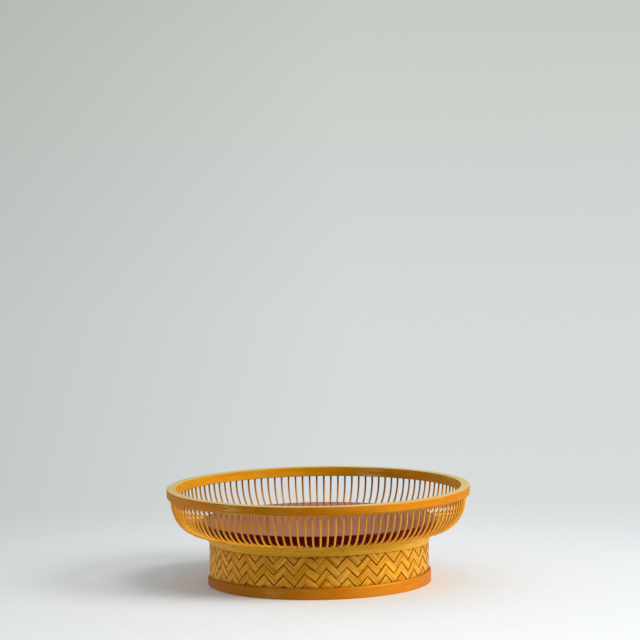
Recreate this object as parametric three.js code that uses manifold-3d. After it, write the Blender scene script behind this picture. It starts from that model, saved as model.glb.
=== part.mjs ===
// A round bamboo tray on a foot. Thin round ribs run from sockets in a rim hoop, bend inwards and lie in
// a hidden ring, which makes an open bowl round a lacquered floor board. The foot is a twill-woven wall
// held between bamboo hoops.
// Millimetres, +Z up. The origin is the centre of the foot on the table, and -Y is the front.
import * as THREE from 'three';
import { mergeVertices } from 'three/addons/utils/BufferGeometryUtils.js';
import Module from 'manifold-3d';

const wasm = await Module();
wasm.setup();

// Clearances
const SEAT_GAP = 0.3;
const SOCKET_CLEARANCE = 0.3;
const NAIL_CLEARANCE = 0.3;

// Rim hoop
const RIM_OUTER_RADIUS = 135.2;
const RIM_THICKNESS = 8;
const RIM_HEIGHT = 8.7;
const RIM_UNDER_ROUND = 2.4;
const RIM_EDGE_EASE = 0.7;

// Ribs
const RIB_COUNT = 124;
const RIB_FIRST_ANGLE = THREE.MathUtils.degToRad(0.7);
const RIB_DIAMETER = 1.75;
const RIB_RISE = 29.6;
const RIB_SOCKET_DEPTH = 4;
const RIB_TAIL = 2.5;
const RIB_RUN_PAST_BOARD = 3.5;
const BEND_FULLNESS_FLOOR = 0.67;
const BEND_FULLNESS_RIM = 0.5;

// Floor board
const BOARD_RADIUS = 105;
const BOARD_THICKNESS = 7.3;
const BOARD_EDGE_ROUND = 1;

// Foot, from the table to the top of the collar
const FOOT_HEIGHT = 46.6;
const WALL_OUTER_RADIUS = 97.4;
const WALL_THICKNESS = 1.4;
const WALL_SETBACK = 1;
const STRIP_WIDTH = 6.5;
const STRIP_CROWN = 1;

// Hoops and ring that hold the foot together
const COLLAR_HEIGHT = 8.9;
const COLLAR_THICKNESS = 1.1;
const COLLAR_FLARE = 2.2;
const FOOT_HOOP_HEIGHT = 10;
const FOOT_HOOP_THICKNESS = 2;
const FOOT_HOOP_TOP_ROUND = 1.2;
const INNER_HOOP_HEIGHT = 9;
const INNER_HOOP_THICKNESS = 3;
const RING_THICKNESS = 7;
const RING_HEIGHT = 10.5;
const RING_COVER = 0.3;

// Collar nails
const NAIL_COUNT = 6;
const NAIL_FIRST_ANGLE = THREE.MathUtils.degToRad(12);
const NAIL_SHANK_RADIUS = 0.5;
const NAIL_HEAD_RADIUS = 0.9;
const NAIL_HEAD_HEIGHT = 0.5;
const NAIL_BITE = 3;

// Facets
const ROUND_SEGMENTS = 62;
const RIB_SIDES = 4;
const RIB_BEND_STEPS = 3;
const RIB_STEPS = RIB_BEND_STEPS + 2;
const ROUND_STEPS = 2;
const NAIL_SIDES = 5;
const MERGE_TOLERANCE = 1e-4;

// A twill repeats every four columns: two with strips leaning right on top, two with strips leaning left
const TWILL_REPEAT = 4;
const TWILL_FLOAT = 2;

// Sizes that follow from the driving ones
const TURN = 2 * Math.PI;
const FRONT = -Math.PI / 2;
const CUT_MARGIN = 1;
const ribCornerRadius = RIB_DIAMETER / (1 + Math.cos(Math.PI / RIB_SIDES));
const ribHalfThickness = ribCornerRadius * Math.cos(Math.PI / RIB_SIDES);
const ribAxisHeight = FOOT_HEIGHT + SEAT_GAP + ribHalfThickness;
const ringTop = ribAxisHeight + ribHalfThickness + RING_COVER;
const boardBottom = ringTop + SEAT_GAP;
const rimBottom = ribAxisHeight + RIB_RISE;
const rimTop = rimBottom + RIM_HEIGHT;
const rimInnerRadius = RIM_OUTER_RADIUS - RIM_THICKNESS;
const ribCircleRadius = RIM_OUTER_RADIUS - RIM_THICKNESS / 2;
const wallInnerRadius = WALL_OUTER_RADIUS - WALL_THICKNESS;
const wallTop = FOOT_HEIGHT - WALL_SETBACK;
const outerHoopRadius = WALL_OUTER_RADIUS + SEAT_GAP;
const innerHoopRadius = wallInnerRadius - SEAT_GAP;
const collarBottom = FOOT_HEIGHT - COLLAR_HEIGHT;
const nailHeight = FOOT_HEIGHT - COLLAR_HEIGHT / 2;
const collarFaceAtNail = outerHoopRadius + COLLAR_THICKNESS + COLLAR_FLARE / 2;

// Finishes
const amberSkin = new THREE.MeshStandardMaterial({ color: 0xc17f22, roughness: 0.42, metalness: 0 });
const splint = new THREE.MeshStandardMaterial({ color: 0xd39a45, roughness: 0.5, metalness: 0 });
const paleBamboo = new THREE.MeshStandardMaterial({ color: 0xcaa14c, roughness: 0.55, metalness: 0 });
const wovenBamboo = new THREE.MeshStandardMaterial({ color: 0xc5983f, roughness: 0.55, metalness: 0 });
const redLacquer = new THREE.MeshStandardMaterial({ color: 0x4a0c12, roughness: 0.18, metalness: 0 });
const darkIron = new THREE.MeshStandardMaterial({ color: 0x3b2c22, roughness: 0.6, metalness: 0.7 });

// A geometry as a closed solid that can be joined and cut
function solidOf(geometry) {
  const bare = geometry.clone();
  bare.deleteAttribute('normal');
  bare.deleteAttribute('uv');
  const merged = mergeVertices(bare, MERGE_TOLERANCE);
  return new wasm.Manifold(new wasm.Mesh({
    numProp: 3,
    vertProperties: new Float32Array(merged.attributes.position.array),
    triVerts: new Uint32Array(merged.index.array),
  }));
}

// A solid back as a geometry
function geometryOf(solid) {
  const mesh = solid.getMesh();
  const geometry = new THREE.BufferGeometry();
  geometry.setAttribute('position', new THREE.BufferAttribute(new Float32Array(mesh.vertProperties), 3));
  geometry.setIndex(new THREE.BufferAttribute(new Uint32Array(mesh.triVerts), 1));
  geometry.computeVertexNormals();
  return geometry;
}

// An outline of [radius, height] pairs, anticlockwise, turned round the Z axis
function turned(outline, segments = ROUND_SEGMENTS) {
  const points = outline.map(([radius, height]) => new THREE.Vector2(radius, height));
  return new THREE.LatheGeometry(points, segments).rotateX(Math.PI / 2);
}

// A ring: its outline comes back to where it starts
function ring(outline) {
  return turned([...outline, outline[0]]);
}

// Points of a rounded corner, from one angle to another
function corner(radius, height, round, from, to) {
  const points = [];
  for (let step = 0; step <= ROUND_STEPS; step += 1) {
    const angle = from + (to - from) * step / ROUND_STEPS;
    points.push([radius + round * Math.cos(angle), height + round * Math.sin(angle)]);
  }
  return points;
}

// A prism on end, with its first corner pointing along +X
function uprightPrism(cornerRadius, sides, bottom, top) {
  const prism = new THREE.CylinderGeometry(cornerRadius, cornerRadius, top - bottom, sides);
  return prism.rotateX(Math.PI / 2).rotateZ(Math.PI / 2).translate(0, 0, (bottom + top) / 2);
}

// Angle of one of the ribs
function ribAngle(index) {
  return FRONT + RIB_FIRST_ANGLE + TURN * index / RIB_COUNT;
}

// The rim hoop, with a blind socket in its underside for each rib
function rimHoop() {
  const underside = rimBottom + RIM_UNDER_ROUND;
  let hoop = solidOf(ring([
    [rimInnerRadius, rimBottom],
    ...corner(RIM_OUTER_RADIUS - RIM_UNDER_ROUND, underside, RIM_UNDER_ROUND, -Math.PI / 2, 0),
    [RIM_OUTER_RADIUS, rimTop - RIM_EDGE_EASE],
    [RIM_OUTER_RADIUS - RIM_EDGE_EASE, rimTop],
    [rimInnerRadius, rimTop],
  ]));
  const socketRadius = ribCornerRadius + SOCKET_CLEARANCE / Math.cos(Math.PI / RIB_SIDES);
  const socket = uprightPrism(socketRadius, RIB_SIDES, rimBottom - CUT_MARGIN, rimBottom + RIB_SOCKET_DEPTH);
  socket.rotateZ(Math.PI / RIB_SIDES).translate(ribCircleRadius, 0, 0);
  for (let index = 0; index < RIB_COUNT; index += 1) {
    hoop = hoop.subtract(solidOf(socket.clone().rotateZ(ribAngle(index))));
  }
  return geometryOf(hoop);
}

// The line of a rib in the XZ plane: out of the ring and under the board, round the bend, up into the rim.
// Its straight ends take one step each, so that the rib stands square in its socket.
class RibLine extends THREE.Curve {
  constructor() {
    super();
    const at = (radius, height) => new THREE.Vector3(radius, 0, height);
    const bendStart = BOARD_RADIUS + RIB_RUN_PAST_BOARD;
    const start = at(bendStart, ribAxisHeight);
    const floorPull = at(bendStart + BEND_FULLNESS_FLOOR * (ribCircleRadius - bendStart), ribAxisHeight);
    const rimPull = at(ribCircleRadius, rimBottom - BEND_FULLNESS_RIM * RIB_RISE);
    const end = at(ribCircleRadius, rimBottom);
    const head = at(ribCircleRadius, rimBottom + RIB_SOCKET_DEPTH - SEAT_GAP);
    this.tail = new THREE.LineCurve3(at(innerHoopRadius - RIB_TAIL, ribAxisHeight), start);
    this.bend = new THREE.CubicBezierCurve3(start, floorPull, rimPull, end);
    this.head = new THREE.LineCurve3(end, head);
  }

  getPoint(t) {
    const step = t * RIB_STEPS;
    if (step < 1) {
      return this.tail.getPoint(step);
    }
    if (step > RIB_STEPS - 1) {
      return this.head.getPoint(step - RIB_STEPS + 1);
    }
    return this.bend.getPoint((step - 1) / RIB_BEND_STEPS);
  }

  getUtoTmapping(u) {
    return u;
  }
}

// The ring and the ribs that are let into it, as one piece
function ribCage() {
  const section = new THREE.Shape();
  for (let side = 0; side < RIB_SIDES; side += 1) {
    const angle = TURN * (side + 1 / 2) / RIB_SIDES;
    const [x, y] = [ribCornerRadius * Math.cos(angle), ribCornerRadius * Math.sin(angle)];
    if (side === 0) {
      section.moveTo(x, y);
    } else {
      section.lineTo(x, y);
    }
  }
  section.closePath();
  const rib = new THREE.ExtrudeGeometry(section, { steps: RIB_STEPS, extrudePath: new RibLine() });
  let cage = solidOf(ring([
    [innerHoopRadius - RING_THICKNESS, ringTop - RING_HEIGHT],
    [innerHoopRadius, ringTop - RING_HEIGHT],
    [innerHoopRadius, ringTop],
    [innerHoopRadius - RING_THICKNESS, ringTop],
  ]));
  for (let index = 0; index < RIB_COUNT; index += 1) {
    cage = cage.add(solidOf(rib.clone().rotateZ(ribAngle(index))));
  }
  return geometryOf(withNailHoles(cage));
}

// The lacquered floor board, with a softened top edge
function floorBoard() {
  const top = boardBottom + BOARD_THICKNESS;
  return turned([
    [0, boardBottom],
    [BOARD_RADIUS, boardBottom],
    [BOARD_RADIUS, top - BOARD_EDGE_ROUND],
    [BOARD_RADIUS - BOARD_EDGE_ROUND, top],
    [0, top],
  ]);
}

// The collar round the top of the foot, flared towards the bowl
function collarHoop() {
  const collar = solidOf(ring([
    [outerHoopRadius, collarBottom],
    [outerHoopRadius + COLLAR_THICKNESS, collarBottom],
    [outerHoopRadius + COLLAR_THICKNESS + COLLAR_FLARE, FOOT_HEIGHT],
    [outerHoopRadius, FOOT_HEIGHT],
  ]));
  return geometryOf(withNailHoles(collar));
}

// The hoop round the base of the foot, with its bamboo skin rounded over at the top
function footHoop() {
  const outside = outerHoopRadius + FOOT_HOOP_THICKNESS;
  const shoulder = FOOT_HOOP_HEIGHT - FOOT_HOOP_TOP_ROUND;
  return ring([
    [outerHoopRadius, 0],
    [outside, 0],
    ...corner(outside - FOOT_HOOP_TOP_ROUND, shoulder, FOOT_HOOP_TOP_ROUND, 0, Math.PI / 2),
    [outerHoopRadius, FOOT_HOOP_HEIGHT],
  ]);
}

// The plain hoop inside the base of the foot
function innerHoop() {
  return ring([
    [innerHoopRadius - INNER_HOOP_THICKNESS, 0],
    [innerHoopRadius, 0],
    [innerHoopRadius, INNER_HOOP_HEIGHT],
    [innerHoopRadius - INNER_HOOP_THICKNESS, INNER_HOOP_HEIGHT],
  ]);
}

// The woven wall. Between its hoops each strip rises to a crown where it lies on top, and a fold of the
// surface follows either the strip's edge or, within one float, the strip's own middle.
function wovenWall() {
  const bottom = FOOT_HOOP_HEIGHT + SEAT_GAP;
  const top = collarBottom - SEAT_GAP;
  const halfDiagonal = STRIP_WIDTH / Math.SQRT2;
  const repeats = Math.round(TURN * WALL_OUTER_RADIUS / (TWILL_REPEAT * halfDiagonal));
  const columns = TWILL_REPEAT * repeats;
  const rows = Math.max(TWILL_FLOAT, Math.round((top - bottom) / halfDiagonal));
  const heights = [WALL_SETBACK];
  for (let row = 0; row <= rows; row += 1) {
    heights.push(bottom + (top - bottom) * row / rows);
  }
  heights.push(wallTop);
  const positions = [];
  heights.forEach((height, level) => {
    const between = level > 1 && level < heights.length - 2;
    for (let column = 0; column < columns; column += 1) {
      const crowned = between && (level + column) % 2 === 0;
      const radius = WALL_OUTER_RADIUS + (crowned ? STRIP_CROWN : 0);
      const angle = TURN * column / columns;
      positions.push(radius * Math.cos(angle), radius * Math.sin(angle), height);
    }
  });
  const bottomCentre = positions.push(0, 0, WALL_SETBACK) / 3 - 1;
  const topCentre = positions.push(0, 0, wallTop) / 3 - 1;
  const triangles = [];
  const vertex = (column, level) => level * columns + column % columns;
  for (let column = 0; column < columns; column += 1) {
    for (let level = 0; level < heights.length - 1; level += 1) {
      const [a, b] = [vertex(column, level), vertex(column + 1, level)];
      const [c, d] = [vertex(column + 1, level + 1), vertex(column, level + 1)];
      const leansRight = (level + column) % 2 === 0;
      const insideFloat = column % TWILL_REPEAT === (leansRight ? 0 : TWILL_FLOAT);
      if (leansRight === insideFloat) {
        triangles.push(a, b, c, a, c, d);
      } else {
        triangles.push(a, b, d, b, c, d);
      }
    }
    triangles.push(vertex(column + 1, 0), vertex(column, 0), bottomCentre);
    const last = heights.length - 1;
    triangles.push(vertex(column, last), vertex(column + 1, last), topCentre);
  }
  const plug = new THREE.BufferGeometry();
  plug.setAttribute('position', new THREE.Float32BufferAttribute(positions, 3));
  plug.setIndex(triangles);
  const bore = uprightPrism(wallInnerRadius, ROUND_SEGMENTS, WALL_SETBACK - CUT_MARGIN, wallTop + CUT_MARGIN);
  return geometryOf(withNailHoles(solidOf(plug).subtract(solidOf(bore))));
}

// Angle of one of the collar nails
function nailAngle(index) {
  return FRONT + NAIL_FIRST_ANGLE + TURN * index / NAIL_COUNT;
}

// Drill a piece of the foot for the nails, from outside the collar to the nails' points
function withNailHoles(solid) {
  const holeRadius = NAIL_SHANK_RADIUS + NAIL_CLEARANCE / Math.cos(Math.PI / NAIL_SIDES);
  const outside = collarFaceAtNail + COLLAR_FLARE + CUT_MARGIN;
  const inside = innerHoopRadius - NAIL_BITE - SEAT_GAP;
  const drill = new THREE.CylinderGeometry(holeRadius, holeRadius, outside - inside, NAIL_SIDES);
  drill.rotateZ(-Math.PI / 2).translate((inside + outside) / 2, 0, nailHeight);
  let drilled = solid;
  for (let index = 0; index < NAIL_COUNT; index += 1) {
    drilled = drilled.subtract(solidOf(drill.clone().rotateZ(nailAngle(index))));
  }
  return drilled;
}

// A nail through the collar and the woven wall into the ring, with a low domed head
function collarNail() {
  const shankLength = collarFaceAtNail + SEAT_GAP - innerHoopRadius + NAIL_BITE;
  const nail = new THREE.LatheGeometry([
    new THREE.Vector2(0, -shankLength),
    new THREE.Vector2(NAIL_SHANK_RADIUS, -shankLength),
    new THREE.Vector2(NAIL_SHANK_RADIUS, 0),
    new THREE.Vector2(NAIL_HEAD_RADIUS, 0),
    new THREE.Vector2(NAIL_SHANK_RADIUS, NAIL_HEAD_HEIGHT),
    new THREE.Vector2(0, NAIL_HEAD_HEIGHT),
  ], NAIL_SIDES);
  return nail.rotateZ(-Math.PI / 2);
}

// The assembly
const tray = new THREE.Group();

function addPiece(name, geometry, material) {
  const piece = new THREE.Mesh(geometry, material);
  piece.name = name;
  tray.add(piece);
  return piece;
}

addPiece('rim_hoop', rimHoop(), amberSkin);
addPiece('rib_cage', ribCage(), splint);
addPiece('floor_board', floorBoard(), redLacquer);
addPiece('collar_hoop', collarHoop(), paleBamboo);
addPiece('woven_wall', wovenWall(), wovenBamboo);
addPiece('foot_hoop', footHoop(), amberSkin);
addPiece('inner_foot_hoop', innerHoop(), paleBamboo);
for (let index = 0; index < NAIL_COUNT; index += 1) {
  const nail = addPiece(`collar_nail_${index + 1}`, collarNail(), darkIron);
  const reach = collarFaceAtNail + SEAT_GAP;
  const angle = nailAngle(index);
  nail.position.set(reach * Math.cos(angle), reach * Math.sin(angle), nailHeight);
  nail.rotation.z = angle;
}

export default tray;
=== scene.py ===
import math

import bpy
import numpy as np
from mathutils import Matrix, Vector


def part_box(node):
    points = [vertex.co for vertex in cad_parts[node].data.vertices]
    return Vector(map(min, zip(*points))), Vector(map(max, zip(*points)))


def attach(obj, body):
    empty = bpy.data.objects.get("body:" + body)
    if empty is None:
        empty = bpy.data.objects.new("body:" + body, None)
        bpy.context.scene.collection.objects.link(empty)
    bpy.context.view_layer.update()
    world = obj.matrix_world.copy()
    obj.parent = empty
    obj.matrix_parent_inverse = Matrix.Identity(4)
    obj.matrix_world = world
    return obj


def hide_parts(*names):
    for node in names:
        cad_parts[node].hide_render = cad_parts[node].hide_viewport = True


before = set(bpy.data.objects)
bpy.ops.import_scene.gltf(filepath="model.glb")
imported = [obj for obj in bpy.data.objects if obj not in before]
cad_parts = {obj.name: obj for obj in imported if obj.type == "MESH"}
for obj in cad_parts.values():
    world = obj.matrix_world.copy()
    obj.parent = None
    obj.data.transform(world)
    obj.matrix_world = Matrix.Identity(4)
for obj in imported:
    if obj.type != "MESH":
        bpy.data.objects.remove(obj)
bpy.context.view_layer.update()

MM = 0.001
TURN = 2 * math.pi
QUARTER_TURN = math.pi / 2
BACK = QUARTER_TURN
FRONT = -QUARTER_TURN
ROOT_TWO = math.sqrt(2)
RANDOM_SEED = 11
chance = np.random.default_rng(RANDOM_SEED)

# Facets
HOOP_CUTS = 288
CORNER_STEPS = 5
CORNER_SUPPORT = 0.3 * MM
CORNER_POINTS = CORNER_STEPS + 3
SHARP_ANGLE = math.radians(40)
TUBE_CAPS = 2

# Roundings of each outline's corners, anticlockwise from the inner corner at the bottom
RIM_ROUNDINGS = (0.8 * MM, 2.4 * MM, 0.8 * MM, 0.6 * MM)
RING_ROUNDINGS = (0.8 * MM, 0.8 * MM, 0.5 * MM, 0.5 * MM)
BOARD_ROUNDINGS = (0.1 * MM, 0.5 * MM, 1.0 * MM, 0.1 * MM)
COLLAR_ROUNDINGS = (0.2 * MM, 0.4 * MM, 8 * MM, 0.4 * MM, 0.3 * MM)
FOOT_ROUNDINGS = (0.2 * MM, 0.5 * MM, 1.2 * MM, 0.3 * MM)
INNER_FOOT_ROUNDINGS = (0.5 * MM, 0.3 * MM, 0.3 * MM, 0.7 * MM)

# Tones of the hoops, where 1 leaves the material's colour as it is
RIM_TONE = 1.12
RING_TONE = 0.95
FOOT_TONE = 0.92
INNER_FOOT_TONE = 0.9
# The board's upright side is darker: painted shade.
BOARD_SIDE_PAINTED_SHADE = 0.38

# Ribs: painted light and shade as tones by the share of the rise, outside and inside, and by the angle from
# the front: lighter low on the outer sides, darker high on the inner sides where the rim shades them
RIB_COUNT = 124
RIB_FIRST_ANGLE = FRONT + math.radians(0.55)
RIB_RADIUS = 0.86 * MM
RIB_ABOVE_COLLAR = 1.0 * MM
RIB_TAIL = 2.5 * MM
RIB_RUN_PAST_BOARD = 3.5 * MM
RIB_BEND_PULLS = (0.67, 0.5)
RIB_HEAD = 1 * MM
RIB_SIDES = 12
RIB_BEND_STEPS = 26
RIB_SWAY = 0.16 * MM
RIB_RADIUS_SPREAD = 0.03
RIB_TONE_SPREAD = 0.08
RIB_PAINTED_SHADING_AT = (0.12, 0.45, 0.85, 1.0)
RIB_OUTER_PAINTED_SHADING = (1.30, 0.90, 0.88, 0.87)
RIB_INNER_PAINTED_SHADING = (0.66, 0.50, 0.26, 0.03)
RIB_ROUND_SHADING_AT = tuple(math.radians(angle) for angle in (-75, -42, -10, 25, 44, 75))
RIB_ROUND_PAINTED_SHADING = (1.0, 0.76, 0.95, 0.93, 1.12, 0.95)
RIBS_PER_GRAIN_SHIFT = 3
RING_BELOW_BOARD = 0.3 * MM

# Weave: two sets of strips at 45 degrees, each over two and under two of the other set
STRIPS_EACH_WAY = 66
STRIP_FILL = 0.98
STRIP_THICKNESS = 0.45 * MM
STRIP_EDGE = 0.15 * MM
STRIP_EDGE_UPRIGHT = 0.4
STRIP_CROWN = 0.04 * MM
STRIP_SHOULDER_AT = 0.4
STRIP_SHOULDER_RISE = 0.8
STRIP_WAVE = 0.28 * MM
STRIP_WAVE_SQUARENESS = 4.0
STRIP_STEPS_PER_CROSSING = 8
STRIP_TONE_SPREAD = 0.05
STRIP_START_SPREAD = 1.0
STRIP_GRAIN_SPREAD = 20
TWILL_REPEAT = 4
TWILL_START = 0.5
WEAVE_TURN = math.radians(0.15)
WEAVE_LIFT = -0.75 * MM
WEAVE_DROPS_AT = (-math.pi, math.radians(-60), math.radians(-12), math.radians(4))
WEAVE_DROPS = (0.0, 5.5 * MM, 6.9 * MM, 0.0)
WALL_BULGE = 0.75 * MM
WALL_BULGE_RUN = 1.6 * MM

# Foot hoop: its top edge leans up to the right, and dips on the left where the weave covers it
FOOT_EDGE_LEAN = 0.8 * MM
FOOT_DIP = 3.6 * MM
FOOT_DIP_AT = math.radians(-96)
FOOT_DIP_RUN = math.radians(26)

# Painted light and shade: how much the tone changes at two places, on the left and on the right, where the
# light falls differently
PAINTED_SHADING_AT = (math.radians(-80), math.radians(48))
PAINTED_SHADING_RUN = (math.radians(45), math.radians(30))
NO_PAINTED_SHADING = (0.0, 0.0)
RIM_PAINTED_SHADING = (0.0, 0.13)
WEAVE_PAINTED_SHADING = (0.39, 0.09)
COLLAR_PAINTED_SHADING = (0.18, 0.05)
FOOT_PAINTED_SHADING = (-0.15, 0.15)

# Board, collar and nails: a nail's head is a share of its node's half height, the rest shares of the head
BOARD_SEAT = 0.4 * MM
COLLAR_FLARE = 2.3 * MM
COLLAR_HOLLOW = 0.55 * MM
COLLAR_SIDE_DROP = 1.8 * MM
COLLAR_DROP_POWER = 4
NAIL_HEAD_SHARE = 0.75
NAIL_SHANK_SHARE = 0.55
NAIL_HEAD_HEIGHT_SHARE = 0.6
NAIL_DOME_POINTS = 7

# Bamboo nodes on the hoops, as angles from the front in degrees
RIM_OUTER_NODES = (-34.5, 88.0, -152.0)
RIM_INNER_NODES = (156.3, 31.0, -84.0)
FOOT_NODES = (-27.0, 108.0, -140.0)
NODE_SWELL = 0.22 * MM
NODE_SWELL_RUN = 1.6 * MM
NODE_CUTS = 13
NODE_CUTS_REACH = 3
NODE_MARK_RUN = 12 * MM
FOOT_NODE_MARK = 0.5
CUT_FACE_FLATNESS = 0.8

# Camera: where it stands, and where the middle of the foot falls in the picture
CAMERA_DISTANCE = 2.694
CAMERA_ELEVATION = math.radians(9.627)
PICTURE_SIDE = 640
FOCAL_PIXELS = 3000
SENSOR_WIDTH = 36
FOOT_PIXEL = (319.65, 580.81)
PICTURE_ROLL = math.radians(0.90)


def colour(red, green, blue):
    return (red, green, blue, 1.0)


def darker(shade, share):
    return colour(*(share * part for part in shade[:3]))


# Stage and light
FLOOR_RADIUS = 2.5
FLOOR_CORNERS = 96
FLOOR_DARK = colour(0.610, 0.622, 0.625)
FLOOR_LIGHT = colour(0.635, 0.647, 0.650)
FLOOR_GRAIN_SCALE = 60.0
FLOOR_GRAIN_DETAIL = 4.0
FLOOR_ROUGHNESS = 0.9
FLOOR_SHINE = 0.1
FLOOR_FADE = (0.125, 0.42)
FLOOR_BOUNCE = 1.15
KEY_PLACE = Vector((2.45, -0.93, 1.47))
KEY_SIDE = 1.6
KEY_POWER = 159
KEY_COLOUR = (1.0, 0.985, 0.96)
FILL_COLOUR = colour(0.96, 0.98, 1.0)
FILL_FROM = (-0.97, 0.15, 0.19)
FILL_REACH = (-0.3, 1.0)
FILL_RANGE = (0.12, 1.27)
BACKDROP_STOPS = (
    (-0.185, (0.95, 0.97, 0.98)), (-0.165, (0.85, 0.88, 0.90)), (-0.142, (0.69, 0.72, 0.725)),
    (-0.080, (0.67, 0.705, 0.690)), (0.025, (0.565, 0.604, 0.558)),
)
BACKDROP_SIDE = (-0.105, 0.01, 0.82, 1.0)
REFLECTED_DEPTH = (-0.8, 0.5)
REFLECTED_LEAST = 0.05
REFLECTED_TINT = (1.06, 0.88, 0.58)

# Bamboo's marks, drawn by noise: the size along and across the grain, and the shift from piece to piece
FIBRES = {"length": 55 * MM, "shift": 37.0, "detail": 3.0, "roughness": 0.6}
PATCHES = {"length": 26 * MM, "width": 5 * MM, "shift": 11.0, "detail": 2.0, "roughness": 0.5}
THIN_LINES = {"length": 40 * MM, "shift": 71.0, "detail": 2.0, "roughness": 0.7}
SMEARS = {"length": 14 * MM, "width": 1.1 * MM, "shift": 5.0, "detail": 2.0, "roughness": 0.6}

# Ranges from the noise, or from the tone or the node's mark, to the share of a second colour
NOISE_MIDDLE = 0.5
NOISE_SPAN = (0.3, 0.7)
PATCH_RANGE = (0.45, 0.8, 0.0, 0.45)
THIN_RANGE = (0.52, 0.62)
THIN_SHADE = 0.6
SMEAR_RANGE = (0.48, 0.60)
NODE_LINE_RANGE = (0.985, 0.998, 0.0, 0.15)
NODE_LINE_SHADE = 0.5
GLEAM_TONES = (0.5, 0.78)
GLEAM_LEAST = 0.15
BAMBOO_RELIEF = (0.35, 0.15 * MM)
BAMBOO_GLOSS_SPREAD = (-0.06, 0.08)
AMBER_TINT = (1.0, 0.48, 0.015)
PALE_TINT = (1.0, 0.78, 0.35)

# Painted shadow lines on a strip's two edges, where shade falls in the gaps beside the neighbouring strips,
# as shares of its width, and where they break
STRIP_SHADOW_LINE = colour(0.10, 0.022, 0.0)
NEAR_SHADOW_LINE_AT = (0.34, 0.36)
NEAR_SHADOW_LINE_BREAKS = (0.35, 0.55, 0.5, 0.95)
FAR_SHADOW_LINE_AT = (-0.45, -0.43)
FAR_SHADOW_LINE_BREAKS = (0.40, 0.60, 0.0, 0.7)

# Lacquer and iron
CLOUD_SCALE, CLOUD_DETAIL = 18.0, 3.0
DUST_SCALE, DUST_DETAIL = 900.0, 1.0
DUST_RANGE = (0.72, 0.80, 0.0, 0.2)
DUST_COLOUR = colour(0.28, 0.08, 0.07)
# A pale haze on the top faces only: dust and painted sheen.
HAZE_AND_SHEEN_RANGE = (0.5, 1.0, 0.0, 0.08)
HAZE_AND_SHEEN_COLOUR = colour(0.25, 0.20, 0.18)
SWELL_SCALE, SWELL_DETAIL = 45.0, 1.0
LACQUER_RELIEF = (0.03, 0.4 * MM)
LACQUER_GLOSS = (0.17, 0.21)
LACQUER_IOR = 1.28
IRON_SCALE, IRON_DETAIL = 1500.0, 3.0
IRON_SPAN = (0.35, 0.65)
IRON_RELIEF = (0.3, 0.05 * MM)
IRON_GLOSS = (0.5, 0.7)
IRON_METALLIC = 0.25


def extents(node):
    """Inner radius, outer radius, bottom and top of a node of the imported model."""
    points = np.array([vertex.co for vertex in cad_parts[node].data.vertices])
    radii = np.hypot(points[:, 0], points[:, 1])
    return radii.min(), radii.max(), points[:, 2].min(), points[:, 2].max()


rim_inner, rim_outer, rim_bottom, rim_top = extents("rim_hoop")
ring_inner, _, ring_bottom, _ = extents("rib_cage")
_, board_radius, board_bottom, board_top = extents("floor_board")
collar_inner, collar_outer, collar_bottom, collar_top = extents("collar_hoop")
_, wall_outer, wall_bottom, wall_top = extents("woven_wall")
foot_inner, foot_outer, foot_bottom, foot_top = extents("foot_hoop")
inner_inner, inner_outer, inner_bottom, inner_top = extents("inner_foot_hoop")

strip_step = TURN * wall_outer / (2 * STRIPS_EACH_WAY)
strip_width = STRIP_FILL * strip_step * ROOT_TWO


class Looks:
    """The nodes of a material or of the world, with short ways to add to them."""

    def __init__(self, owner):
        owner.use_nodes = True
        self.owner = owner
        self.tree = owner.node_tree

    def put(self, socket, value):
        if isinstance(value, bpy.types.NodeSocket):
            self.tree.links.new(value, socket)
        else:
            socket.default_value = value

    def node(self, kind, inputs=(), **settings):
        made = self.tree.nodes.new("ShaderNode" + kind)
        for name, value in settings.items():
            setattr(made, name, value)
        for key, value in dict(inputs).items():
            self.put(made.inputs[key], value)
        return made

    def attribute(self, name, output):
        return self.node("Attribute", attribute_name=name).outputs[output]

    def scaled(self, vector, scale):
        return self.node("VectorMath", {0: vector, 1: scale}, operation="MULTIPLY").outputs[0]

    def noise(self, vector, scale, detail, roughness=0.5):
        place = self.scaled(vector, scale)
        inputs = {"Vector": place, "Scale": 1.0, "Detail": detail, "Roughness": roughness}
        return self.node("TexNoise", inputs).outputs["Fac"]

    def ranged(self, value, low, high, to_low=0.0, to_high=1.0):
        inputs = {"Value": value, "From Min": low, "From Max": high, "To Min": to_low, "To Max": to_high}
        return self.node("MapRange", inputs).outputs["Result"]

    def math(self, operation, first, second):
        return self.node("Math", {0: first, 1: second}, operation=operation).outputs[0]

    def mixed(self, share, first, second):
        inputs = {0: share, 6: first, 7: second}
        return self.node("Mix", inputs, data_type="RGBA").outputs[2]

    def toned(self, base, tone):
        return self.node("HueSaturation", {"Value": tone, "Color": base}).outputs["Color"]

    def relief(self, height, strength, distance):
        inputs = {"Strength": strength, "Distance": distance, "Height": height}
        return self.node("Bump", inputs).outputs["Normal"]

    def ramp(self, value, stops):
        lowest, highest = stops[0][0], stops[-1][0]
        made = self.node("ValToRGB", {0: self.ranged(value, lowest, highest)})
        elements = made.color_ramp.elements
        for place, _ in stops[1:-1]:
            elements.new((place - lowest) / (highest - lowest))
        for element, (_, shade) in zip(elements, stops):
            element.color = colour(*shade)
        return made.outputs["Color"]

    def finish(self, **values):
        surface = self.tree.nodes["Principled BSDF"]
        for name, value in values.items():
            self.put(surface.inputs[name.replace("_", " ").title().replace("Ior", "IOR")], value)
        return self.owner


def new_material(name):
    return Looks(bpy.data.materials.new(name))


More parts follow.
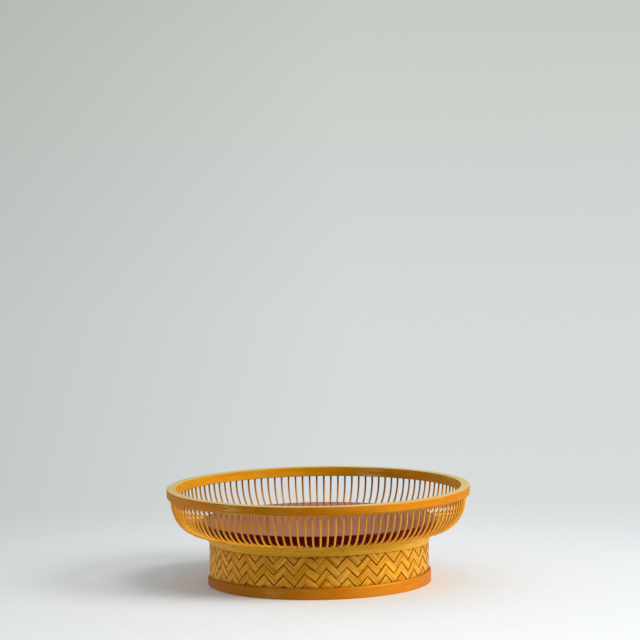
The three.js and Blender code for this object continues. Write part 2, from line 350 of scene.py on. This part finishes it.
def bamboo(name, dark, light, pale, node, rough, shine, fibre=0.4 * MM, streak=0.5, lines=0.35,
           line_gap=1.0 * MM, strip=None, tint=(1, 1, 1), ior=1.5):
    """Bamboo with fibres along the grain: fine streaks, broad patches, thin dark lines and paler nodes, and
    on strips painted shadow lines along their edges.
    """
    looks = new_material(name)
    grain = looks.attribute("grain", "Vector")
    tone = looks.attribute("tone", "Fac")
    mark = looks.attribute("mark", "Fac")

    def drawn(length, width, shift, detail, roughness):
        return looks.noise(grain, (1 / length, 1 / width, shift), detail, roughness)

    fibres = drawn(width=fibre, **FIBRES)
    patches = drawn(**PATCHES)
    thin = drawn(width=line_gap, **THIN_LINES)
    smears = drawn(**SMEARS)
    streaks = looks.ranged(fibres, NOISE_MIDDLE - streak / 2, NOISE_MIDDLE + streak / 2)
    base = looks.mixed(streaks, dark, light)
    base = looks.mixed(looks.ranged(patches, *PATCH_RANGE), base, pale)
    base = looks.mixed(looks.ranged(thin, *THIN_RANGE, 0.0, lines), base, darker(dark, THIN_SHADE))
    base = looks.mixed(looks.math("MULTIPLY", mark, looks.ranged(smears, *SMEAR_RANGE)), base, node)
    base = looks.mixed(looks.ranged(mark, *NODE_LINE_RANGE), base, darker(dark, NODE_LINE_SHADE))
    gleam = looks.ranged(tone, *GLEAM_TONES, GLEAM_LEAST * shine, shine)
    if strip:
        # Painted shadow lines along the strips' edges, with no gleam on them.
        across = looks.node("SeparateXYZ", {0: grain}).outputs["Y"]
        near = looks.ranged(across, NEAR_SHADOW_LINE_AT[0] * strip, NEAR_SHADOW_LINE_AT[1] * strip)
        near = looks.math("MULTIPLY", near, looks.ranged(patches, *NEAR_SHADOW_LINE_BREAKS))
        far = looks.ranged(across, FAR_SHADOW_LINE_AT[0] * strip, FAR_SHADOW_LINE_AT[1] * strip, 1.0, 0.0)
        far = looks.math("MULTIPLY", far, looks.ranged(smears, *FAR_SHADOW_LINE_BREAKS))
        edge = looks.math("MAXIMUM", near, far)
        base = looks.mixed(edge, base, STRIP_SHADOW_LINE)
        gleam = looks.math("MULTIPLY", gleam, looks.ranged(edge, 0.0, 1.0, 1.0, 0.0))
    gloss = looks.ranged(patches, *NOISE_SPAN, *(rough + part for part in BAMBOO_GLOSS_SPREAD))
    return looks.finish(base_color=looks.toned(base, tone), roughness=gloss,
                        normal=looks.relief(fibres, *BAMBOO_RELIEF), ior=ior,
                        specular_ior_level=gleam, specular_tint=colour(*tint))


def lacquer(name, dark, light):
    """Glossy lacquer with faint clouds, dust, a thin pale haze on its top that is partly dust and partly
    painted sheen, painted shade where its tone is low, and a soft unevenness.
    """
    looks = new_material(name)
    place = looks.node("TexCoord").outputs["Object"]
    tone = looks.attribute("tone", "Fac")
    clouds = looks.noise(place, (CLOUD_SCALE,) * 3, CLOUD_DETAIL)
    dust = looks.noise(place, (DUST_SCALE,) * 3, DUST_DETAIL)
    swell = looks.noise(place, (SWELL_SCALE,) * 3, SWELL_DETAIL)
    base = looks.mixed(looks.ranged(clouds, *NOISE_SPAN), dark, light)
    base = looks.mixed(looks.ranged(dust, *DUST_RANGE), base, DUST_COLOUR)
    # Pale haze on the top (dust and painted sheen); the tone below darkens the upright sides as painted
    # shade.
    base = looks.mixed(looks.ranged(tone, *HAZE_AND_SHEEN_RANGE), base, HAZE_AND_SHEEN_COLOUR)
    gloss = looks.ranged(clouds, *NOISE_SPAN, *LACQUER_GLOSS)
    return looks.finish(base_color=looks.toned(base, tone), roughness=gloss,
                        normal=looks.relief(swell, *LACQUER_RELIEF), ior=LACQUER_IOR)


def iron(name, dark, light):
    """Brown darkened iron, dull with age."""
    looks = new_material(name)
    place = looks.node("TexCoord").outputs["Object"]
    patches = looks.noise(place, (IRON_SCALE,) * 3, IRON_DETAIL)
    base = looks.mixed(looks.ranged(patches, *IRON_SPAN), dark, light)
    gloss = looks.ranged(patches, *NOISE_SPAN, *IRON_GLOSS)
    return looks.finish(base_color=base, roughness=gloss, normal=looks.relief(patches, *IRON_RELIEF),
                        metallic=IRON_METALLIC)


amber = bamboo(
    "amber_bamboo", dark=colour(0.258, 0.066, 0.001), light=colour(0.406, 0.122, 0.001),
    pale=colour(0.41, 0.18, 0.023), node=colour(0.47, 0.265, 0.085), rough=0.56, shine=1.0,
    streak=0.7, lines=0.2, tint=AMBER_TINT, ior=1.8)
foot_amber = bamboo(
    "foot_amber", dark=colour(0.254, 0.057, 0.001), light=colour(0.400, 0.106, 0.001),
    pale=colour(0.40, 0.16, 0.023), node=colour(0.47, 0.265, 0.085), rough=0.56, shine=1.0,
    streak=0.7, lines=0.2, tint=AMBER_TINT, ior=1.8)
inner_amber = bamboo(
    "inner_amber", dark=colour(0.32, 0.115, 0.001), light=colour(0.49, 0.216, 0.002),
    pale=colour(0.52, 0.285, 0.032), node=colour(0.545, 0.34, 0.11), rough=0.50, shine=0.6,
    streak=0.7, lines=0.2, tint=AMBER_TINT)
cut = bamboo(
    "cut_bamboo", dark=colour(0.39, 0.278, 0.090), light=colour(0.52, 0.410, 0.180),
    pale=colour(0.54, 0.44, 0.225), node=colour(0.45, 0.335, 0.112), rough=0.55, shine=0.2, lines=0.3)
splint = bamboo(
    "splint_bamboo", dark=colour(0.61, 0.220, 0.006), light=colour(0.776, 0.335, 0.018),
    pale=colour(0.784, 0.41, 0.06), node=colour(0.784, 0.41, 0.05), rough=0.36, shine=0.6,
    lines=0.2, tint=PALE_TINT)
pale_bamboo = bamboo(
    "pale_bamboo", dark=colour(0.470, 0.224, 0.006), light=colour(0.650, 0.340, 0.016),
    pale=colour(0.65, 0.40, 0.06), node=colour(0.65, 0.40, 0.06), rough=0.46, shine=0.3,
    lines=0.5, line_gap=0.8 * MM, tint=PALE_TINT)
woven = bamboo(
    "woven_bamboo", dark=colour(0.34, 0.123, 0.001), light=colour(0.575, 0.275, 0.014),
    pale=colour(0.62, 0.38, 0.085), node=colour(0.62, 0.38, 0.085), rough=0.46, shine=0.2,
    fibre=1.0 * MM, streak=0.26, lines=0.5, line_gap=0.8 * MM, strip=strip_width, tint=PALE_TINT)
red = lacquer("red_lacquer", dark=colour(0.180, 0.0016, 0.0016), light=colour(0.215, 0.0035, 0.0032))
dark_iron = iron("nail_iron", dark=colour(0.21, 0.10, 0.016), light=colour(0.30, 0.15, 0.028))


def make_piece(name, parts, materials, nodes):
    """One mesh from parts: grain goes by corner, tone and material by face, and mark by point."""
    mesh = bpy.data.meshes.new(name)
    faces, count = [], 0
    for part in parts:
        faces.extend([[count + corner for corner in face] for face in part["faces"]])
        count += len(part["points"])

    def joined(key):
        return np.concatenate([part[key] for part in parts])

    mesh.from_pydata(joined("points").tolist(), [], faces)
    for label, kind, domain, key in (
        ("grain", "FLOAT_VECTOR", "CORNER", "vector"),
        ("tone", "FLOAT", "FACE", "value"),
        ("mark", "FLOAT", "POINT", "value"),
    ):
        layer = mesh.attributes.new(label, kind, domain)
        layer.data.foreach_set(key, joined(label).astype(np.float32).ravel())
    for material in materials:
        mesh.materials.append(material)
    mesh.polygons.foreach_set("material_index", joined("index").astype(np.int32))
    mesh.shade_smooth()
    mesh.set_sharp_from_angle(angle=SHARP_ANGLE)
    mesh.update()
    piece = bpy.data.objects.new(name, mesh)
    bpy.context.scene.collection.objects.link(piece)
    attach(piece, "root")
    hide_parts(*nodes)


def rounded(corners, roundings):
    """An anticlockwise outline of (radius, height) points from such corners and their roundings."""
    outline = []
    for place, (corner, rounding) in enumerate(zip(corners, roundings)):
        here = np.array(corner)
        to_last = np.array(corners[place - 1]) - here
        to_next = np.array(corners[(place + 1) % len(corners)]) - here
        to_last /= np.linalg.norm(to_last)
        to_next /= np.linalg.norm(to_next)
        half = math.acos(np.dot(to_last, to_next)) / 2
        middle = (to_last + to_next) / np.linalg.norm(to_last + to_next)
        centre = here + middle * rounding / math.sin(half)
        reach = rounding / math.tan(half)
        first = here + to_last * reach - centre
        hollow = to_next[0] * to_last[1] - to_next[1] * to_last[0] < 0
        sweep = (2 * half - math.pi) if hollow else (math.pi - 2 * half)
        outline.append(here + to_last * (reach + CORNER_SUPPORT))
        for step in range(CORNER_STEPS + 1):
            turn = sweep * step / CORNER_STEPS
            turned = (first[0] * math.cos(turn) - first[1] * math.sin(turn),
                      first[0] * math.sin(turn) + first[1] * math.cos(turn))
            outline.append(centre + turned)
        outline.append(here + to_next * (reach + CORNER_SUPPORT))
    return np.array(outline)


def band(inner, outer, bottom, top, roundings):
    """The outline of a band with four corners."""
    return rounded([(inner, bottom), (outer, bottom), (outer, top), (inner, top)], roundings)


def swept(grid, closed_long, closed_round):
    """Faces and grid steps of a grid of points, long way by round way, wrapped where it is closed."""
    longs, rounds = grid
    long_faces = longs if closed_long else longs - 1
    round_faces = rounds if closed_round else rounds - 1
    row, column = np.meshgrid(np.arange(long_faces), np.arange(round_faces), indexing="ij")
    row, column = row.ravel(), column.ravel()
    steps = [(row, column), (row + 1, column), (row + 1, column + 1), (row, column + 1)]
    faces = np.stack([(r % longs) * rounds + c % rounds for r, c in steps], axis=1)
    return faces, np.stack([np.stack(step, axis=1) for step in steps], axis=1)


def wrapped(angle):
    """The same angle within half a turn of zero."""
    return (angle + math.pi) % TURN - math.pi


def painted_shading_tone(around, most):
    """Tone at an angle round the tray: painted light and shade, changed by the most at the two places where
    the light falls most differently.
    """
    tone = np.ones_like(around)
    for place, run, change in zip(PAINTED_SHADING_AT, PAINTED_SHADING_RUN, most):
        tone += change * np.exp(-(wrapped(around - FRONT - place) / run) ** 2)
    return tone


def foot_edge(around):
    """Height of the foot hoop's uneven top edge at an angle round the tray."""
    from_front = wrapped(around - FRONT)
    dip = FOOT_DIP * np.exp(-((from_front - FOOT_DIP_AT) / FOOT_DIP_RUN) ** 2)
    return foot_top + FOOT_EDGE_LEAN * np.sin(from_front) - dip


def collar_edge(around):
    """Height of the collar's lower edge at an angle round the tray: it hangs lower on the right."""
    return collar_bottom - COLLAR_SIDE_DROP * np.maximum(np.sin(around - FRONT), 0) ** COLLAR_DROP_POWER


def weave_height(around):
    """Height where the weave's pattern starts: the rows drop in front and climb back round the left side."""
    return WEAVE_LIFT - np.interp(wrapped(around - FRONT), WEAVE_DROPS_AT, WEAVE_DROPS)


def hoop(outline, tone=1.0, shading_change=NO_PAINTED_SHADING, outer_nodes=(), inner_nodes=(), node_mark=1.0, cut_faces=False,
         top_edge=None, low_edge=None):
    """A hoop turned from a closed outline, with swollen, marked nodes and fibres round the hoop."""
    places = np.linspace(0, TURN, HOOP_CUTS, endpoint=False)
    radius = outline[:, 0].mean()
    node_turns = [(math.radians(angle) + FRONT - BACK) % TURN for angle in (*outer_nodes, *inner_nodes)]
    fine = np.linspace(-NODE_CUTS_REACH, NODE_CUTS_REACH, NODE_CUTS) * NODE_SWELL_RUN / radius
    turns = np.unique(np.concatenate([places, *(turn + fine for turn in node_turns)]) % TURN)
    middle = (outline[:, 0].min() + outline[:, 0].max()) / 2
    swell = np.zeros((len(turns), len(outline)))
    mark = np.zeros_like(swell)
    for number, turn in enumerate(node_turns):
        outside = number < len(outer_nodes)
        side = (outline[:, 0] > middle) if outside else (outline[:, 0] < middle)
        away = (np.abs(wrapped(turns - turn)) * radius)[:, None]
        push = NODE_SWELL * np.exp(-(away / NODE_SWELL_RUN) ** 2) * (1 if outside else -1)
        swell += push * side
        mark = np.maximum(mark, node_mark * np.exp(-(away / NODE_MARK_RUN) ** 2) * side)
    around = (turns + BACK)[:, None]
    reach = outline[None, :, 0] + swell
    height = np.broadcast_to(outline[None, :, 1], reach.shape)
    bottom, top = outline[:, 1].min(), outline[:, 1].max()
    low = low_edge(around) if low_edge else bottom
    high = top_edge(around) if top_edge else top
    height = low + (height - bottom) * (high - low) / (top - bottom)
    points = np.stack([reach * np.cos(around), reach * np.sin(around), height], axis=-1).reshape(-1, 3)
    faces, steps = swept(reach.shape, True, True)
    slope = np.roll(outline, -1, axis=0) - outline
    sides = np.linalg.norm(slope, axis=1)
    along = np.append(turns, TURN) * radius
    across = np.append(0, np.cumsum(sides))
    grain = np.stack([along[steps[..., 0]], across[steps[..., 1]], np.full(steps.shape[:2], radius)], axis=-1)
    flat = np.abs(slope[:, 0]) > CUT_FACE_FLATNESS * sides
    inside = outline[:, 0] < middle
    kinds = np.where(flat, 1, np.where(inside, 2, 0)) if cut_faces else np.zeros(len(outline))
    index = np.tile(kinds, len(turns))
    # The outer faces take the painted light and shade round the tray.
    tones = tone * np.where(index == 0, np.repeat(painted_shading_tone(around, shading_change), len(outline)), 1.0)
    return {"points": points, "faces": faces.tolist(), "grain": grain.reshape(-1, 3), "tone": tones,
            "mark": mark.ravel(), "index": index}


def tube(points, along, across, tone, shift):
    """A closed sweep: a grid of points, long way by round way, with a cap on each end."""
    longs, rounds = points.shape[:2]
    faces, steps = swept((longs, rounds), False, True)
    across = np.append(across, across[0])
    grain = np.stack([along[steps[..., 0]], across[steps[..., 1]], np.full(steps.shape[:2], shift)], axis=-1)
    caps = [list(range(rounds))[::-1], list(range((longs - 1) * rounds, longs * rounds))]
    cap_corners = TUBE_CAPS * rounds
    cap_grain = np.stack([np.full(cap_corners, along[0]), np.tile(across[:-1], TUBE_CAPS),
                          np.full(cap_corners, shift)], axis=-1)
    count = len(faces) + TUBE_CAPS
    return {"points": points.reshape(-1, 3), "faces": faces.tolist() + caps,
            "grain": np.concatenate([grain.reshape(-1, 3), cap_grain]), "tone": np.full(count, tone),
            "mark": np.zeros(longs * rounds), "index": np.zeros(count)}


def solid_of_turning(outline, side_painted_shade=1.0):
    """A solid turned from an outline that starts and ends on the axis, with its own tone on upright faces as
    painted shade.
    """
    turns = np.linspace(0, TURN, HOOP_CUTS, endpoint=False)[:, None]
    inner = outline[1:-1]
    reach = np.broadcast_to(inner[None, :, 0], (len(turns), len(inner)))
    height = np.broadcast_to(inner[None, :, 1], reach.shape)
    points = np.stack([reach * np.cos(turns), reach * np.sin(turns), height], axis=-1).reshape(-1, 3)
    faces, _ = swept(reach.shape, True, False)
    faces = faces.tolist()
    low, high, rings = len(points), len(points) + 1, len(inner)
    for cut_number in range(len(turns)):
        after = (cut_number + 1) % len(turns)
        faces.append([low, after * rings, cut_number * rings])
        faces.append([high, cut_number * rings + rings - 1, after * rings + rings - 1])
    points = np.concatenate([points, [(0, 0, outline[0][1]), (0, 0, outline[-1][1])]])
    grain = points[np.concatenate([np.array(face) for face in faces])]
    slope = np.abs(np.diff(inner, axis=0))
    tone = np.tile(np.where(slope[:, 1] > slope[:, 0], side_painted_shade, 1.0), len(turns))
    tone = np.append(tone, np.ones(2 * len(turns)))
    return {"points": points, "faces": faces, "grain": grain, "tone": tone,
            "mark": np.zeros(len(points)), "index": np.zeros(len(faces))}


def rib_line():
    """The line of a rib as (radius, height) points: from the ring, under the board, round the bend, up."""
    axis = collar_top + RIB_ABOVE_COLLAR
    circle = (rim_inner + rim_outer) / 2
    bend_start = board_radius + RIB_RUN_PAST_BOARD
    pull_out = bend_start + RIB_BEND_PULLS[0] * (circle - bend_start)
    pull_up = rim_bottom - RIB_BEND_PULLS[1] * (rim_bottom - axis)
    pulls = np.array([(bend_start, axis), (pull_out, axis), (circle, pull_up), (circle, rim_bottom)])
    share = np.linspace(0, 1, RIB_BEND_STEPS + 1)[:, None]
    bend = (pulls[0] * (1 - share) ** 3 + 3 * pulls[1] * share * (1 - share) ** 2
            + 3 * pulls[2] * share ** 2 * (1 - share) + pulls[3] * share ** 3)
    return np.concatenate([[(inner_outer - RIB_TAIL, axis)], bend, [(circle, rim_bottom + RIB_HEAD)]])


def ribs():
    """The ribs as round rods with the bright outer side of the bamboo outwards, each with its own tone,
    painted light and shade along it and round the tray, and a slight sway.
    """
    line = rib_line()
    run = np.append(0, np.cumsum(np.linalg.norm(np.diff(line, axis=0), axis=1)))
    ahead = np.gradient(line, run, axis=0)
    ahead /= np.linalg.norm(ahead, axis=1)[:, None]
    aside = np.stack([ahead[:, 1], -ahead[:, 0]], axis=1)
    sway_shape = np.sin(np.pi * np.clip(run / run[-1], 0, 1)) ** 2
    round_turns = np.linspace(0, TURN, RIB_SIDES, endpoint=False)
    facing_out = np.clip(1 + np.cos(round_turns + math.pi / RIB_SIDES), 0, 1)
    rise = (line[:-1, 1] - line[0, 1]) / (line[-1, 1] - line[0, 1])
    # Painted light low on the outer sides and painted shade high on the inner sides, under the rim.
    outer_painted_shading = np.interp(rise, RIB_PAINTED_SHADING_AT, RIB_OUTER_PAINTED_SHADING)[:, None]
    inner_painted_shading = np.interp(rise, RIB_PAINTED_SHADING_AT, RIB_INNER_PAINTED_SHADING)[:, None]
    skin_and_painted_shading = inner_painted_shading + (outer_painted_shading - inner_painted_shading) * facing_out
    parts = []
    for number in range(RIB_COUNT):
        radius = RIB_RADIUS * (1 + chance.normal(0, RIB_RADIUS_SPREAD))
        sway = chance.normal(0, RIB_SWAY) * sway_shape
        angle = RIB_FIRST_ANGLE + TURN * number / RIB_COUNT
        outwards = radius * np.cos(round_turns)[None, :, None] * aside[:, None, :]
        reach = line[:, None, 0] + outwards[..., 0]
        height = line[:, None, 1] + outwards[..., 1]
        sideways = sway[:, None] + radius * np.sin(round_turns)[None, :]
        points = np.stack([reach * math.cos(angle) - sideways * math.sin(angle),
                           reach * math.sin(angle) + sideways * math.cos(angle), height], axis=-1)
        tone = 1 + chance.normal(0, RIB_TONE_SPREAD)
        # Painted light and shade by the rib's angle round the tray.
        tone *= np.interp(wrapped(angle - FRONT), RIB_ROUND_SHADING_AT, RIB_ROUND_PAINTED_SHADING)
        part = tube(points, run, round_turns * radius, tone, number / RIBS_PER_GRAIN_SHIFT)
        part["tone"][:-TUBE_CAPS] *= skin_and_painted_shading.ravel()
        parts.append(part)
    return parts


def strip_section():
    """A strip's section, anticlockwise: upright edges, a flat back and a low crown on the face."""
    half_width, half_thick = strip_width / 2, STRIP_THICKNESS / 2
    upright = STRIP_EDGE_UPRIGHT * half_thick
    flat = half_width - STRIP_EDGE
    shoulder = (STRIP_SHOULDER_AT * half_width, half_thick + STRIP_SHOULDER_RISE * STRIP_CROWN)
    return np.array([
        (-half_width, -upright), (-flat, -half_thick), (flat, -half_thick), (half_width, -upright),
        (half_width, upright), (flat, half_thick), shoulder, (0, half_thick + STRIP_CROWN),
        (-shoulder[0], shoulder[1]), (-flat, half_thick), (-half_width, upright),
    ])


def strips():
    """The strips of the woven wall, waving over two and under two of the strips that cross them."""
    section = strip_section()
    section_rise = section[None, :, 0] / ROOT_TWO
    hidden_radius = (collar_inner + inner_outer) / 2
    slack = strip_width / 2 / ROOT_TWO
    low = (wall_bottom + slack - WEAVE_LIFT) / strip_step
    high = (wall_top - slack - WEAVE_LIFT + max(WEAVE_DROPS)) / strip_step
    all_crossings = np.linspace(low, high, int((high - low) * STRIP_STEPS_PER_CROSSING) + 1)
    column_turn = TURN / (2 * STRIPS_EACH_WAY)
    parts = []
    for lean in (1, -1):
        for number in range(STRIPS_EACH_WAY):
            columns = 2 * number + lean * all_crossings
            middle = weave_height(FRONT + WEAVE_TURN + columns * column_turn) + all_crossings * strip_step
            crossings = all_crossings[(middle >= wall_bottom + slack) & (middle <= wall_top - slack)]
            column = 2 * number + lean * crossings
            wave = np.cos(TURN * (column - TWILL_START) / TWILL_REPEAT) * lean
            wave = np.tanh(STRIP_WAVE_SQUARENESS * wave) / math.tanh(STRIP_WAVE_SQUARENESS)
            turn = column[:, None] * column_turn - lean * section_rise / wall_outer
            around = FRONT + WEAVE_TURN + turn
            height = weave_height(around) + crossings[:, None] * strip_step + section_rise
            inside = np.minimum(height - foot_edge(around), collar_edge(around) - height) / WALL_BULGE_RUN
            inside = np.clip(inside, 0, 1)
            bulge = WALL_BULGE * inside * inside * (3 - 2 * inside)
            reach = hidden_radius + bulge + STRIP_WAVE * wave[:, None] + section[None, :, 1]
            points = np.stack([reach * np.cos(around), reach * np.sin(around), height], axis=-1)
            if lean < 0:
                points = points[:, ::-1]
            across = section[:, 0] if lean > 0 else -section[::-1, 0]
            tone = 1 + chance.normal(0, STRIP_TONE_SPREAD)
            along = crossings * strip_step * ROOT_TWO + chance.uniform(0, STRIP_START_SPREAD)
            part = tube(points, along, across, tone, chance.uniform(0, STRIP_GRAIN_SPREAD))
            # Painted light and shade round the tray, on the strips' tone.
            part["tone"][:-TUBE_CAPS] *= painted_shading_tone(around[:-1], WEAVE_PAINTED_SHADING).ravel()
            parts.append(part)
    return parts


def make_nail(number):
    """A nail with a low domed head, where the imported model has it."""
    node = f"collar_nail_{number}"
    low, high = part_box(node)
    middle = (low + high) / 2
    angle = math.atan2(middle.y, middle.x)
    inner, outer, bottom, top = extents(node)
    head = NAIL_HEAD_SHARE * (top - bottom) / 2
    shank = NAIL_SHANK_SHARE * head
    head_height = NAIL_HEAD_HEIGHT_SHARE * head
    dome = [(head * math.cos(turn), head_height * math.sin(turn))
            for turn in np.linspace(0, QUARTER_TURN, NAIL_DOME_POINTS)]
    outline = [(0, inner - outer), (shank, inner - outer), (shank, -head_height), (head, -head_height)]
    outline += [(radius, height - head_height) for radius, height in dome[:-1]] + [(0, 0)]
    part = solid_of_turning(np.array(outline))
    place = Matrix.Rotation(angle, 4, "Z") @ Matrix.Rotation(QUARTER_TURN, 4, "Y")
    place = Matrix.Translation((outer * math.cos(angle), outer * math.sin(angle), middle.z)) @ place
    part["points"] = np.array([place @ Vector(point) for point in part["points"]])
    make_piece(f"nail_{number}", [part], [dark_iron], [node])


rim = hoop(band(rim_inner, rim_outer, rim_bottom, rim_top, RIM_ROUNDINGS), RIM_TONE, RIM_PAINTED_SHADING,
           outer_nodes=RIM_OUTER_NODES, inner_nodes=RIM_INNER_NODES, cut_faces=True)
make_piece("rim", [rim], [amber, cut, inner_amber], ["rim_hoop"])

make_piece("ribs", ribs(), [splint], ["rib_cage"])
ring_top = board_bottom - RING_BELOW_BOARD
ring = hoop(band(ring_inner, inner_outer, ring_bottom, ring_top, RING_ROUNDINGS), RING_TONE)
make_piece("rib_ring", [ring], [splint], ["rib_cage"])

# The board's outline keeps only the two outer corners, and runs to the axis from both.
board_base = board_bottom - BOARD_SEAT
board_edge = band(board_radius / 2, board_radius, board_base, board_top, BOARD_ROUNDINGS)
board_edge = board_edge[CORNER_POINTS:3 * CORNER_POINTS]
board_outline = np.concatenate([[(0, board_base)], board_edge, [(0, board_top)]])
# The board's upright side takes painted shade.
board = solid_of_turning(board_outline, BOARD_SIDE_PAINTED_SHADE)
make_piece("board", [board], [red], ["floor_board"])

collar_outline = rounded([
    (collar_inner, collar_bottom), (collar_outer - COLLAR_FLARE, collar_bottom),
    (collar_outer - COLLAR_FLARE / 2 - COLLAR_HOLLOW, (collar_bottom + collar_top) / 2),
    (collar_outer, collar_top), (collar_inner, collar_top),
], COLLAR_ROUNDINGS)
collar = hoop(collar_outline, shading_change=COLLAR_PAINTED_SHADING, low_edge=collar_edge)
make_piece("collar", [collar], [pale_bamboo], ["collar_hoop"])

make_piece("weave", strips(), [woven], ["woven_wall"])

foot = hoop(band(foot_inner, foot_outer, foot_bottom, foot_top, FOOT_ROUNDINGS), FOOT_TONE, FOOT_PAINTED_SHADING,
            outer_nodes=FOOT_NODES, node_mark=FOOT_NODE_MARK, top_edge=foot_edge)
make_piece("foot", [foot], [foot_amber], ["foot_hoop"])

inner_outline = band(inner_inner, inner_outer, inner_bottom, inner_top, INNER_FOOT_ROUNDINGS)
inner_foot = hoop(inner_outline, INNER_FOOT_TONE)
make_piece("inner_foot", [inner_foot], [pale_bamboo], ["inner_foot_hoop"])

nail_count = sum(node.startswith("collar_nail_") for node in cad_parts)
for number in range(1, nail_count + 1):
    make_nail(number)


def make_floor():
    """A pale floor that fades into the background away from the tray."""
    looks = new_material("floor")
    place = looks.node("NewGeometry").outputs["Position"]
    away = looks.node("VectorMath", {0: place}, operation="LENGTH").outputs["Value"]
    fade = looks.ranged(away, *FLOOR_FADE)
    paper = looks.noise(place, (FLOOR_GRAIN_SCALE,) * 3, FLOOR_GRAIN_DETAIL)
    base = looks.mixed(looks.ranged(paper, *NOISE_SPAN), FLOOR_DARK, FLOOR_LIGHT)
    seen = looks.node("LightPath").outputs["Is Camera Ray"]
    base = looks.mixed(seen, darker(FLOOR_LIGHT, FLOOR_BOUNCE), base)
    looks.finish(base_color=base, roughness=FLOOR_ROUGHNESS, specular_ior_level=FLOOR_SHINE)
    clear = looks.node("BsdfTransparent").outputs[0]
    solid = looks.tree.nodes["Principled BSDF"].outputs[0]
    shown = looks.node("MixShader", {0: fade, 1: solid, 2: clear}).outputs[0]
    looks.put(looks.tree.nodes["Material Output"].inputs["Surface"], shown)
    mesh = bpy.data.meshes.new("floor")
    turns = np.linspace(0, TURN, FLOOR_CORNERS, endpoint=False)
    points = [(FLOOR_RADIUS * math.cos(turn), FLOOR_RADIUS * math.sin(turn), 0) for turn in turns]
    mesh.from_pydata(points, [], [list(range(FLOOR_CORNERS))])
    mesh.materials.append(looks.owner)
    floor = bpy.data.objects.new("floor", mesh)
    bpy.context.scene.collection.objects.link(floor)


def make_world():
    """A pale backdrop for what the camera and reflections see, and a soft fill from the left for the rest."""
    world = bpy.data.worlds.new("studio")
    bpy.context.scene.world = world
    looks = Looks(world)
    way = looks.node("TexCoord").outputs["Generated"]
    parts = looks.node("SeparateXYZ", {0: way}).outputs
    rays = looks.node("LightPath").outputs

    towards = looks.node("VectorMath", {0: way, 1: FILL_FROM}, operation="DOT_PRODUCT").outputs["Value"]
    fill_strength = looks.ranged(towards, *FILL_REACH, *FILL_RANGE)
    fill = looks.node("Background", {"Color": FILL_COLOUR, "Strength": fill_strength}).outputs[0]

    shade = looks.ramp(parts["Z"], BACKDROP_STOPS)
    shade = looks.mixed(rays["Is Camera Ray"], looks.scaled(shade, REFLECTED_TINT), shade)
    side = looks.ranged(parts["X"], *BACKDROP_SIDE)
    depth = looks.ranged(parts["Y"], *REFLECTED_DEPTH, REFLECTED_LEAST, 1.0)
    seen_strength = looks.math("MULTIPLY", side, looks.math("MAXIMUM", rays["Is Camera Ray"], depth))
    seen = looks.node("Background", {"Color": shade, "Strength": seen_strength}).outputs[0]

    share = rays["Is Camera Ray"]
    for name in ("Is Glossy Ray", "Is Transmission Ray"):
        share = looks.math("MAXIMUM", share, rays[name])
    both = looks.node("MixShader", {0: share, 1: fill, 2: seen}).outputs[0]
    looks.put(looks.tree.nodes["World Output"].inputs["Surface"], both)


def make_key():
    """One large soft light from the right, a little to the front."""
    lamp = bpy.data.lights.new("key", "AREA")
    lamp.shape = "SQUARE"
    lamp.size = KEY_SIDE
    lamp.energy = KEY_POWER
    lamp.color = KEY_COLOUR
    key = bpy.data.objects.new("key", lamp)
    key.location = KEY_PLACE
    key.rotation_euler = KEY_PLACE.to_track_quat("Z", "Y").to_euler()
    bpy.context.scene.collection.objects.link(key)


def make_camera():
    """The camera, turned so that the middle of the foot falls on its pixel and the picture keeps its roll."""
    data = bpy.data.cameras.new("camera")
    data.sensor_width = SENSOR_WIDTH
    data.lens = SENSOR_WIDTH * FOCAL_PIXELS / PICTURE_SIDE
    camera = bpy.data.objects.new("camera", data)
    bpy.context.scene.collection.objects.link(camera)
    back = Vector((0, -math.cos(CAMERA_ELEVATION), math.sin(CAMERA_ELEVATION)))
    ahead = -back
    up = (Vector((0, 0, 1)) - ahead * ahead.z).normalized()
    middle = PICTURE_SIDE / 2
    seen_ahead = Vector((FOOT_PIXEL[0] - middle, middle - FOOT_PIXEL[1], -FOCAL_PIXELS)).normalized()
    seen_up = Vector((-math.sin(PICTURE_ROLL), math.cos(PICTURE_ROLL), 0))
    seen_up = (seen_up - seen_ahead * seen_up.dot(seen_ahead)).normalized()
    world_axes = Matrix((ahead, up, ahead.cross(up))).transposed()
    seen_axes = Matrix((seen_ahead, seen_up, seen_ahead.cross(seen_up)))
    camera.matrix_world = Matrix.Translation(back * CAMERA_DISTANCE) @ (world_axes @ seen_axes).to_4x4()
    bpy.context.scene.camera = camera


make_floor()
make_world()
make_key()
make_camera()
bpy.context.scene.view_settings.view_transform = "Standard"
